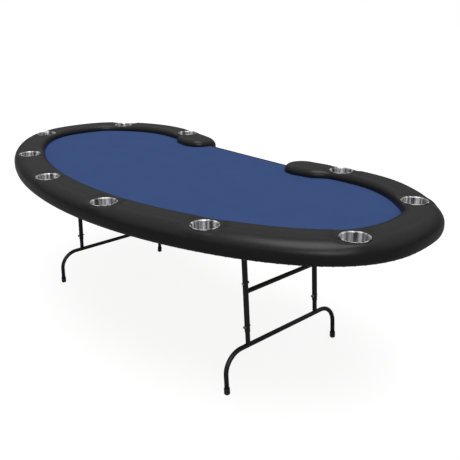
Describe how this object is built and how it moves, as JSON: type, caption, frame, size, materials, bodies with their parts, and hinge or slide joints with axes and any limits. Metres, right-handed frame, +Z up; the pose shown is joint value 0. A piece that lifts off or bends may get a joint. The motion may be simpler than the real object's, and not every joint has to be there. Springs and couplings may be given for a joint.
{
  "type": "folding-leg poker table",
  "caption": "Oval poker table with a padded rail, steel cup holders, a dealer's cut-out and folding tube legs.",
  "frame": {"origin": "on the floor, under the middle of the table's outer box", "axes": "+X along the length, +Y towards the dealer's side, +Z up"},
  "size_m": [2.4376, 1.1777, 0.746],
  "materials": {
    "vinyl_black": "satin",
    "felt_blue": "matte",
    "plywood": "matte",
    "foam_cream": "matte",
    "trim_black": "satin",
    "stainless_steel": "brushed",
    "powder_black": "satin",
    "zinc_steel": "satin",
    "rubber_black": "matte"
  },
  "bodies": {
    "table_top": {"playing_cloth": "felt_blue", "cloth_pad": "foam_cream", "deck_board": "plywood", "apron_ring": "plywood", "dealer_apron": "plywood", "dealer_edge_trim": "trim_black", "rail_board": "plywood", "rail_foam": "foam_cream", "rail_side_foam": "foam_cream", "rail_cover": "vinyl_black", "rail_bolts": "zinc_steel", "bracket_screws": "zinc_steel", "cup_holder_01": "stainless_steel", "cup_holder_02": "stainless_steel", "cup_holder_03": "stainless_steel", "cup_holder_04": "stainless_steel", "cup_holder_05": "stainless_steel", "cup_holder_06": "stainless_steel", "cup_holder_07": "stainless_steel", "cup_holder_08": "stainless_steel", "cup_holder_09": "stainless_steel", "cup_holder_10": "stainless_steel", "left_leg_bracket_front": "powder_black", "left_leg_bracket_back": "powder_black", "left_pivot_bolts": "zinc_steel", "right_leg_bracket_front": "powder_black", "right_leg_bracket_back": "powder_black", "right_pivot_bolts": "zinc_steel"},
    "left_leg": {"left_crossbar": "powder_black", "left_stop_bolts": "zinc_steel", "left_upper_tube_front": "powder_black", "left_upper_tube_back": "powder_black"},
    "left_foot": {"left_foot_tube": "powder_black", "left_foot_post_front": "powder_black", "left_foot_post_back": "powder_black", "left_foot_cap_front": "rubber_black", "left_foot_cap_back": "rubber_black"},
    "left_front_pin": {"left_height_pin_front": "zinc_steel"},
    "left_back_pin": {"left_height_pin_back": "zinc_steel"},
    "right_leg": {"right_crossbar": "powder_black", "right_stop_bolts": "zinc_steel", "right_upper_tube_front": "powder_black", "right_upper_tube_back": "powder_black"},
    "right_foot": {"right_foot_tube": "powder_black", "right_foot_post_front": "powder_black", "right_foot_post_back": "powder_black", "right_foot_cap_front": "rubber_black", "right_foot_cap_back": "rubber_black"},
    "right_front_pin": {"right_height_pin_front": "zinc_steel"},
    "right_back_pin": {"right_height_pin_back": "zinc_steel"}
  },
  "joints": [
    {"name": "left_leg_fold", "type": "hinge", "parent": "table_top", "child": "left_leg", "pos_m": [-0.634, 0.039, 0.6685], "axis": [0, -1, 0], "range_deg": [0, 94]},
    {"name": "left_foot_slide", "type": "slide", "parent": "left_leg", "child": "left_foot", "axis": [-0.0698, 0, -0.9976], "range_m": [0, 0.15]},
    {"name": "left_front_pin_pull", "type": "slide", "parent": "left_leg", "child": "left_front_pin", "axis": [0, -1, 0], "range_m": [0, 0.03]},
    {"name": "left_back_pin_pull", "type": "slide", "parent": "left_leg", "child": "left_back_pin", "axis": [0, -1, 0], "range_m": [0, 0.03]},
    {"name": "right_leg_fold", "type": "hinge", "parent": "table_top", "child": "right_leg", "pos_m": [0.634, 0.039, 0.6685], "axis": [0, 1, 0], "range_deg": [0, 90]},
    {"name": "right_foot_slide", "type": "slide", "parent": "right_leg", "child": "right_foot", "axis": [0.0698, 0, -0.9976], "range_m": [0, 0.15]},
    {"name": "right_front_pin_pull", "type": "slide", "parent": "right_leg", "child": "right_front_pin", "axis": [0, -1, 0], "range_m": [0, 0.03]},
    {"name": "right_back_pin_pull", "type": "slide", "parent": "right_leg", "child": "right_back_pin", "axis": [0, -1, 0], "range_m": [0, 0.03]}
  ]
}
